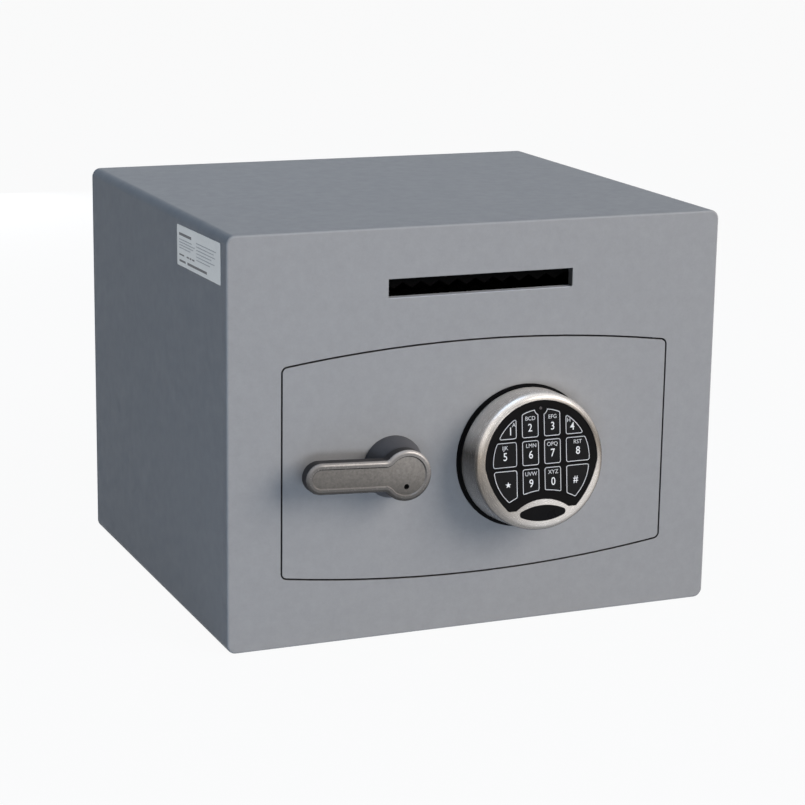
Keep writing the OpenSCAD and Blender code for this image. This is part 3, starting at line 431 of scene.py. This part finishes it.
# the nodes that show as they are
for material, names in (
        (inner_coat, ("liner", "door_case", "case_cover")),
        (chute_shade_coat, ("chute", "baffle", "comb_upper", "comb_lower")),
        (poured_fill, ("barrier_fill",)),
        (mat_felt, ("floor_mat",)),
        (black_rubber, ("anchor_plugs",)),
        (zinc, ("lock_case", "lock_lid")),
        (board_green, ("pad_board",)),
        (led_lens, ("pad_led",)),
        (pit_shade_black, ("lever_screw",)),
        (bronze, ("lock_bolt",)),
        (dark_screw, ("hinge_pins",)),
        (steel, ("anchor_sleeves", "hard_plate", "cover_screws", "dog_bolts", "guide_studs",
                 "lock_screws", "cable_tube", "spindle", "cam", "cam_nut", "cam_pin",
                 "bolt_carriage", "locking_bolts"))):
    for name in names:
        nodes[name].data.materials.clear()
        nodes[name].data.materials.append(material)

# ---------------------------------------------------------------- cabinet and door
CORNER_R = 8 * MM             # the front plate's corners, seen from the front
RIM_R = 2.2 * MM              # its outer rim
LIP_R = 1.0 * MM              # the slot's lower lip
SHEET_R = 0.5 * MM            # every other edge of the sheets
BORDER = 12 * MM              # what lies this near to the plate's outline belongs to its rim
OPENING_TOP = DOOR_TOP + 4 * MM       # the door's opening ends below this
SLOT_BAND = DOOR_TOP + 6 * MM         # and the slot's walls begin above this
WALL = 0.3                    # a wall's normal leans less than this towards the front
GAP, LIP, RIM = 1, 2, 3       # the further materials' places on the sheets


def on_outline(co):
    """On the outer outline of the front plate's face."""
    if abs(co.y - FRONT_Y) > HAIR:
        return False
    aside = plate_high.x - abs(co.x)
    above = min(co.z - plate_low.z, plate_high.z - co.z)
    if max(aside, above) > CORNER_R - HAIR:
        return min(aside, above) < 2 * HAIR
    return abs(math.hypot(CORNER_R - aside, CORNER_R - above) - CORNER_R) < 5 * HAIR


def by_slot(co):
    """In the band of the front plate that the slot is cut through."""
    return SLOT_BAND < co.z < plate_high.z - BORDER and abs(co.x) < plate_high.x - BORDER


def on_lip(co):
    """On the slot's lower front edge."""
    return by_slot(co) and abs(co.z - slot_bottom) < HAIR and abs(co.y - FRONT_Y) < HAIR


plate = clean_copy("front_plate", "front_plate_finished")
round_rim(plate, RIM_R, on_outline, 5)
slot_bottom = min(v.co.z for v in plate.data.vertices if by_slot(v.co))
round_rim(plate, LIP_R, on_lip)
round_edges(plate, SHEET_R)
dress(plate, [coat, gap_shade_coat, lip_highlight_coat, rim_highlight_coat], "cabinet", "cabinet_paint", "front_plate")
for name in ("body_wrap", "back_plate"):
    softened(name, coat, "cabinet", "cabinet_paint", SHEET_R)
door = softened("door_plate", coat, "door", "cabinet_paint", SHEET_R)
door.data.materials.append(gap_shade_coat)

# painted shade: dark paint on the walls of the gap round the door and on the slot's two ends,
# and painted highlights: brighter paint on the slot's lower lip and over the rounded rim
for poly in door.data.polygons:
    if abs(poly.normal.y) < WALL:
        poly.material_index = GAP
for poly in plate.data.polygons:
    at, normal = poly.center, poly.normal
    inside = abs(at.x) < plate_high.x - BORDER and plate_low.z + BORDER < at.z
    slot_end = by_slot(at) and abs(normal.x) > 0.9
    if abs(normal.y) < WALL and inside and (at.z < OPENING_TOP or slot_end):
        poly.material_index = GAP
    # painted highlight on the upward faces of the slot's lower lip
    if by_slot(at) and normal.z > WALL:
        poly.material_index = LIP
    # painted highlight on the faces of the rounded rim
    rounded = -0.95 < normal.y < -WALL
    if rounded and not (inside and at.z < plate_high.z - BORDER):
        poly.material_index = RIM

# ---------------------------------------------------------------- label
INK = 0.04 * MM
LABEL_TURN = math.radians(-1.12)                      # it was stuck on a little askew
LABEL_SHIFT = Vector((0, 0.4 * MM, 0.5 * MM))
label_middle = Vector((0, (label_low.y + label_high.y) / 2, (label_low.z + label_high.z) / 2))
askew = (Matrix.Translation(label_middle + LABEL_SHIFT)
         @ Matrix.Rotation(LABEL_TURN, 4, "X") @ Matrix.Translation(-label_middle))

label = clean_copy("side_label", "side_label_stuck")
for v in label.data.vertices:
    if v.co.x < label_low.x + HAIR:
        v.co.x += INK
label.data.transform(askew)
dress(label, [foil], "cabinet", "label", "side_label")


def ruled(name, material, bars):
    """Printed bars: from the label's rear end, down from its top, length and height, in mm."""
    made = []
    for along, down, length, height in bars:
        bpy.ops.object.select_all(action="DESELECT")
        at = (label_low.x + INK / 2, label_high.y - (along + length / 2) * MM,
              label_high.z - (down + height / 2) * MM)
        bpy.ops.mesh.primitive_cube_add(size=1, location=at, scale=(INK, length * MM, height * MM))
        made.append(bpy.context.object)
    pick(*made)
    bpy.ops.object.join()
    obj = bpy.context.object
    obj.name = name
    put_through(obj, askew)
    dress(obj, [material], "cabinet", "label")


ruled("label_bold_lines", label_ink,
      [(6, 6.2, 33, 2.4), (6, 24.2, 13, 1.3), (26, 24.2, 6, 1.3), (34, 24.2, 5, 1.3),
       (41, 24.2, 6, 1.3), (6, 29.2, 17, 1.8), (28, 29.0, 52, 2.2)])
ruled("label_fine_lines", label_fine_ink,
      [(6, 11.6, 34, 0.7), (6, 14.0, 42, 0.7), (6, 16.4, 38, 0.7), (6, 18.8, 30, 0.7),
       (52, 9.0, 52, 0.7), (52, 11.8, 46, 0.7), (52, 14.6, 50, 0.7), (52, 17.4, 40, 0.7),
       (52, 20.2, 48, 0.7), (52, 23.0, 36, 0.7)])

# ---------------------------------------------------------------- lever
PANEL_Y = lever_low.y + 1.2 * MM      # the sunk panel on the lever's front
# the painted shade on the lever's sides begins behind this
SHADE_FROM_Y = PANEL_Y + 0.5 * MM          # the sides' material begins behind this
BRINK_ANGLE = math.radians(60)        # only the sunk panel's edge is sharper than this
BRINK_SLOPE = 0.95 * MM
PANEL, SHADED_SIDES = 1, 2                   # the further materials' places on the lever


def slope_step(obj, reach):
    """Draws the sunk panel's front rim outward, so that the step round it catches the light."""
    shell = bmesh.new()
    shell.from_mesh(obj.data)
    brink = set()
    for edge in shell.edges:
        sharp = len(edge.link_faces) == 2 and edge.calc_face_angle() > BRINK_ANGLE
        if sharp and all(abs(v.co.y - lever_low.y) < HAIR for v in edge.verts):
            brink.update(edge.verts)
    outward = {}
    for v in brink:
        walls = (f.normal for f in v.link_faces if abs(f.normal.y) < WALL)
        outward[v] = -sum(walls, Vector()).normalized()
    for v, away in outward.items():
        v.co += away * reach
    shell.to_mesh(obj.data)
    shell.free()


handle = clean_copy("lever", "lever_finished")
slope_step(handle, BRINK_SLOPE)
round_edges(handle, 0.35 * MM, angle=50, smooth=40)
dress(handle, [lever_nickel, lever_panel, lever_side_shade], "lever", "lever_nickel", "lever")
for poly in handle.data.polygons:
    if poly.normal.y < -0.999 and abs(poly.center.y - PANEL_Y) < 5 * HAIR:
        poly.material_index = PANEL
    # painted shade on the lever's side faces
    if poly.normal.y > -0.12 and poly.center.y > SHADE_FROM_Y:
        poly.material_index = SHADED_SIDES
softened("lever_boss", boss_coat, "door", "boss", 0.2 * MM, segments=2, angle=60, smooth=40)

# ---------------------------------------------------------------- keypad
TILT = math.radians(5.8)
PAD_AT = Vector((42.4 * MM, FRONT_Y - 36 * MM, 151.5 * MM))   # the middle of the tilted face
from_pad = Matrix.Translation(PAD_AT) @ Matrix.Rotation(math.pi / 2 - TILT, 4, "X")
to_pad = from_pad.inverted()
PAD_R = 59.4 * MM             # where the housing's side meets its rim
WALL_R = 59 * MM              # only the side lies further out than this
FLARE_TOP, FLARE_LENGTH = -8 * MM, 22 * MM
FLARE = 0.75 * MM             # the side is this much wider at its base,
LIFT = 0.7 * MM               # and its base sits this much higher


def flare(obj):
    """Widens the housing's side towards its base."""
    for vert in obj.data.vertices:
        at = to_pad @ vert.co
        out = math.hypot(at.x, at.y)
        if out > WALL_R:
            down = min(max((FLARE_TOP - at.z) / FLARE_LENGTH, 0), 1)
            wider = 1 + FLARE * down / out
            vert.co = from_pad @ Vector((at.x * wider, at.y * wider + LIFT * down, at.z))


def map_rings(obj):
    """A map of the angle round the keypad, and the way up its side and in over its rim."""
    rings = obj.data.uv_layers.new(name="rings")
    for poly in obj.data.polygons:
        middle = to_pad @ poly.center
        face_angle = math.atan2(middle.x, middle.y)
        for loop in poly.loop_indices:
            at = to_pad @ obj.data.vertices[obj.data.loops[loop].vertex_index].co
            angle = math.atan2(at.x, at.y)
            if angle - face_angle > math.pi:
                angle -= 2 * math.pi
            if face_angle - angle > math.pi:
                angle += 2 * math.pi
            rings.data[loop].uv = (angle, at.z + max(PAD_R - math.hypot(at.x, at.y), 0))


softened("pad_ring", black_rubber, "door", "black_plastic", 0.8 * MM, segments=4, angle=50,
         smooth=40)
housing = clean_copy("pad_housing", "pad_housing_finished", False)
flare(housing)
smoothed(housing, 40)
dress(housing, [keypad_plating_and_sheen], "door", "keypad_metal", "pad_housing")
map_rings(housing)
softened("pad_face", face_black, "door", "face_black", 0.12 * MM, segments=2, angle=50, smooth=40)
softened("pad_oval", plate_black, "door", "oval_black", 0.15 * MM, angle=50, smooth=40)

# ---------------------------------------------------------------- keys
KEY_TOP = 0.4 * MM            # how far the keys stand up from the middle of the face
PRINT = 0.05 * MM             # how thick the white outlines and the star are
LINE_IN = 0.25 * MM           # from a key's edge in to its white line
LINE_WIDTH = 0.55 * MM
CAP_HEIGHT = 0.72             # of a capital letter, as a share of the text's size
BOLD_FROM = 5 * MM            # higher marks are drawn bolder
STAR_WAIST = 0.42             # a star's inner radius, as a share of its outer one


def outline(node):
    """The white line round a key: the key's top face, inset twice, and its ring kept."""
    obj = clean_copy(node, node + "_outline")
    obj.data.transform(to_pad)
    edit(obj)
    bpy.ops.mesh.select_all(action="DESELECT")
    object_mode()
    for poly in obj.data.polygons:
        poly.select = poly.normal.z > 0.99 and poly.center.z > KEY_TOP - 5 * HAIR
    edit(obj)
    bpy.ops.mesh.select_all(action="INVERT")
    bpy.ops.mesh.delete(type="FACE")
    bpy.ops.mesh.select_all(action="SELECT")
    bpy.ops.mesh.inset(thickness=LINE_IN, depth=0)
    bpy.ops.mesh.select_all(action="INVERT")
    bpy.ops.mesh.delete(type="FACE")
    bpy.ops.mesh.select_all(action="SELECT")
    bpy.ops.mesh.inset(thickness=LINE_WIDTH, depth=0)
    bpy.ops.mesh.delete(type="FACE")
    raise_plate(PRINT)
    obj.data.transform(from_pad)
    dress(obj, [outline_white], node + "_button", "key_black")


def legend(mark, name, u, v, height, body, ink, wide=1.0):
    """A digit, a hash or letters, set by the middle of its width and height."""
    bpy.ops.object.select_all(action="DESELECT")
    bpy.ops.object.text_add(location=(0, 0, 0))
    obj = bpy.context.object
    obj.name = name
    obj.data.body = mark
    obj.data.align_x = "CENTER"
    obj.data.size = height / CAP_HEIGHT
    obj.data.extrude = 0.03 * MM
    obj.data.offset = 0.04 * MM if height > BOLD_FROM else 0.0
    obj.data.resolution_u = 6
    pick(obj)
    bpy.ops.object.convert(target="MESH")
    obj = bpy.context.object
    left = min(p.co.x for p in obj.data.vertices)
    right = max(p.co.x for p in obj.data.vertices)
    top = max(p.co.y for p in obj.data.vertices)
    centre = Matrix.Translation((-(left + right) / 2, -top / 2, 0))
    size = Matrix.Diagonal((wide * height / top, height / top, 1, 1))
    put_through(obj, from_pad @ Matrix.Translation((u, v, KEY_TOP + 0.02 * MM)) @ size @ centre)
    dress(obj, [ink], body, "key_black")


def star(name, u, v, radius, body):
    """A solid five-pointed star: a circle of ten points with every second one drawn in."""
    bpy.ops.object.select_all(action="DESELECT")
    bpy.ops.mesh.primitive_circle_add(vertices=10, radius=radius, fill_type="NGON")
    obj = bpy.context.object
    obj.name = name
    first = obj.data.vertices[0].co
    up = math.pi / 2 - math.atan2(first.y, first.x)
    edit(obj, "VERT")
    bpy.ops.mesh.select_all(action="DESELECT")
    object_mode()
    for vert in obj.data.vertices:
        vert.select = vert.index % 2 == 1
    edit(obj, "VERT")
    bpy.ops.transform.resize(value=(STAR_WAIST, STAR_WAIST, 1), center_override=(0, 0, 0))
    raise_plate(PRINT)
    seat = Matrix.Translation((u, v, KEY_TOP - HAIR)) @ Matrix.Rotation(up, 4, "Z")
    put_through(obj, from_pad @ seat)
    dress(obj, [legend_white], body, "key_black")


# each key's node, its mark and the mark's place on the face, in mm
MARKS = (
    ("key_1", "1", -28.5, 28.2), ("key_2", "2", -10.3, 30.0), ("key_3", "3", 10.7, 30.0),
    ("key_4", "4", 29.2, 28.2), ("key_5", "5", -33.8, 7.0), ("key_6", "6", -9.9, 7.0),
    ("key_7", "7", 10.6, 7.0), ("key_8", "8", 34.3, 7.1), ("key_9", "9", -10.0, -17.6),
    ("key_0", "0", 10.6, -17.5), ("key_star", "*", -31.5, -17.4), ("key_hash", "#", 31.7, -17.6))
# the letters on the key, and their place
GROUPS = {
    "key_1": ("A", -25.4, 33.5), "key_2": ("BCD", -10.0, 37.9), "key_3": ("EFG", 10.8, 38.0),
    "key_4": ("H", 26.0, 33.6), "key_5": ("IJK", -33.6, 14.4), "key_6": ("LMN", -9.6, 14.6),
    "key_7": ("OPQ", 10.2, 14.6), "key_8": ("RST", 34.2, 14.6), "key_9": ("UVW", -10.0, -9.5),
    "key_0": ("XYZ", 10.6, -9.4)}
DIGIT_HEIGHT, HASH_HEIGHT, LETTER_HEIGHT = 6.6 * MM, 5.4 * MM, 3.3 * MM
DIGIT_WIDTH = 0.88            # of the font's own
STAR_R = 2.7 * MM

for node, mark, u, v in MARKS:
    button = node + "_button"
    softened(node, key_black, button, "key_black", 0.25 * MM, angle=50, smooth=40)
    outline(node)
    if mark == "*":
        star(node + "_mark", u * MM, v * MM, STAR_R, button)
        continue
    height = HASH_HEIGHT if mark == "#" else DIGIT_HEIGHT
    legend(mark, node + "_mark", u * MM, v * MM, height, button, legend_white, DIGIT_WIDTH)
    if node in GROUPS:
        letters, across, up = GROUPS[node]
        legend(letters, node + "_letters", across * MM, up * MM, LETTER_HEIGHT, button,
               letter_white)

# ---------------------------------------------------------------- studio
FRAME = 805                   # the picture's width and height in pixels
FOCAL = 2405.1                # the fitted lens, and the middle of its picture, in those pixels
MIDDLE_X, MIDDLE_Y = 434.3, 411.1
SENSOR = 36
CAMERA_AT = (-0.8268, -1.9957, 0.6784)
AZIMUTH, ELEVATION, ROLL = (math.radians(a) for a in (23.59, 13.87, 1.04))
FLOOR_SIZE = 400              # metres, so that its edge is never seen
FLOOR_COLOUR = (0.42, 0.50, 0.61, 1)
FLOOR_WHITENESS = 0.95        # the rest of the floor takes the safe's shadow
AIR_COLOUR, AIR_STRENGTH = (0.68, 0.84, 1.0, 1), 0.115
WHITE = (1, 1, 1, 1)


def camera():
    data = bpy.data.cameras.new("camera")
    data.lens = FOCAL * SENSOR / FRAME
    data.sensor_width = SENSOR
    data.shift_x = -(MIDDLE_X - FRAME / 2) / FRAME
    data.shift_y = (MIDDLE_Y - FRAME / 2) / FRAME
    data.clip_start = 0.1
    data.clip_end = 30
    obj = bpy.data.objects.new("camera", data)
    scene.collection.objects.link(obj)
    look = Vector((math.sin(AZIMUTH) * math.cos(ELEVATION),
                   math.cos(AZIMUTH) * math.cos(ELEVATION), -math.sin(ELEVATION)))
    right = look.cross(Vector((0, 0, 1))).normalized()
    up = right.cross(look)
    across = math.cos(ROLL) * right + math.sin(ROLL) * up
    above = -math.sin(ROLL) * right + math.cos(ROLL) * up
    turn = Matrix((across, above, -look)).transposed().to_4x4()
    obj.matrix_world = Matrix.Translation(CAMERA_AT) @ turn
    scene.camera = obj


def shown_white(tree, output, plain, white, share=1.0):
    """White to camera, glossy and transmission rays, and plain to the light that fills in."""
    path = tree.nodes.new("ShaderNodeLightPath")
    seen = path.outputs["Is Camera Ray"]
    for kind in ("Is Glossy Ray", "Is Transmission Ray"):
        most = tree.nodes.new("ShaderNodeMath")
        most.operation = "MAXIMUM"
        tree.links.new(seen, most.inputs[0])
        tree.links.new(path.outputs[kind], most.inputs[1])
        seen = most.outputs[0]
    part = tree.nodes.new("ShaderNodeMath")
    part.operation = "MULTIPLY"
    part.inputs[1].default_value = share
    tree.links.new(seen, part.inputs[0])
    mix = tree.nodes.new("ShaderNodeMixShader")
    tree.links.new(part.outputs[0], mix.inputs["Fac"])
    tree.links.new(plain.outputs[0], mix.inputs[1])
    tree.links.new(white.outputs[0], mix.inputs[2])
    out = tree.nodes.new(output)
    tree.links.new(mix.outputs[0], out.inputs["Surface"])


def studio_floor():
    bpy.ops.object.select_all(action="DESELECT")
    bpy.ops.mesh.primitive_plane_add(size=FLOOR_SIZE, location=(0, 0, 0))
    floor = bpy.context.object
    floor.name = "studio_floor"
    material = bpy.data.materials.new("studio_floor")
    material.use_nodes = True
    tree = material.node_tree
    tree.nodes.clear()
    diffuse = tree.nodes.new("ShaderNodeBsdfDiffuse")
    diffuse.inputs["Color"].default_value = FLOOR_COLOUR
    glow = tree.nodes.new("ShaderNodeEmission")
    glow.inputs["Color"].default_value = WHITE
    shown_white(tree, "ShaderNodeOutputMaterial", diffuse, glow, FLOOR_WHITENESS)
    floor.data.materials.append(material)


def studio_air():
    world = bpy.data.worlds.new("studio")
    scene.world = world
    world.use_nodes = True
    tree = world.node_tree
    tree.nodes.clear()
    soft = tree.nodes.new("ShaderNodeBackground")
    soft.inputs["Color"].default_value = AIR_COLOUR
    soft.inputs["Strength"].default_value = AIR_STRENGTH
    white = tree.nodes.new("ShaderNodeBackground")
    white.inputs["Color"].default_value = WHITE
    shown_white(tree, "ShaderNodeOutputWorld", soft, white)


def lamp(name, at, to, size, power, colour):
    data = bpy.data.lights.new(name, "AREA")
    data.shape = "RECTANGLE"
    data.size, data.size_y = size
    data.energy = power
    data.color = colour
    obj = bpy.data.objects.new(name, data)
    scene.collection.objects.link(obj)
    look = Vector(to) - Vector(at)
    obj.matrix_world = Matrix.Translation(at) @ look.to_track_quat("-Z", "Y").to_matrix().to_4x4()
    obj.visible_camera = False
    return obj


camera()
studio_floor()
studio_air()
lamp("key", at=(3.3, -3.84, 2.43), to=(0, -0.1, 0.12), size=(3.6, 3.6), power=264,
     colour=(1, 0.94, 0.885))
lamp("behind", at=(0, 2.3, 0.17), to=(0, 0.2, 0.17), size=(0.42, 0.28), power=12,
     colour=(1.0, 0.96, 0.90))
lamp("overhead", at=(-0.5, 0.25, 2.5), to=(0, 0, 0), size=(2.0, 2.0), power=13,
     colour=(0.38, 0.71, 1.16))
low_fill = lamp("low_fill", at=(-0.40, -1.6, 0.05), to=(0, -0.2, 0.04), size=(0.9, 0.4),
                power=12.4, colour=(0.82, 0.90, 1.0))
low_fill.visible_glossy = False       # it would show in the keypad's plating

scene.view_settings.view_transform = "Standard"
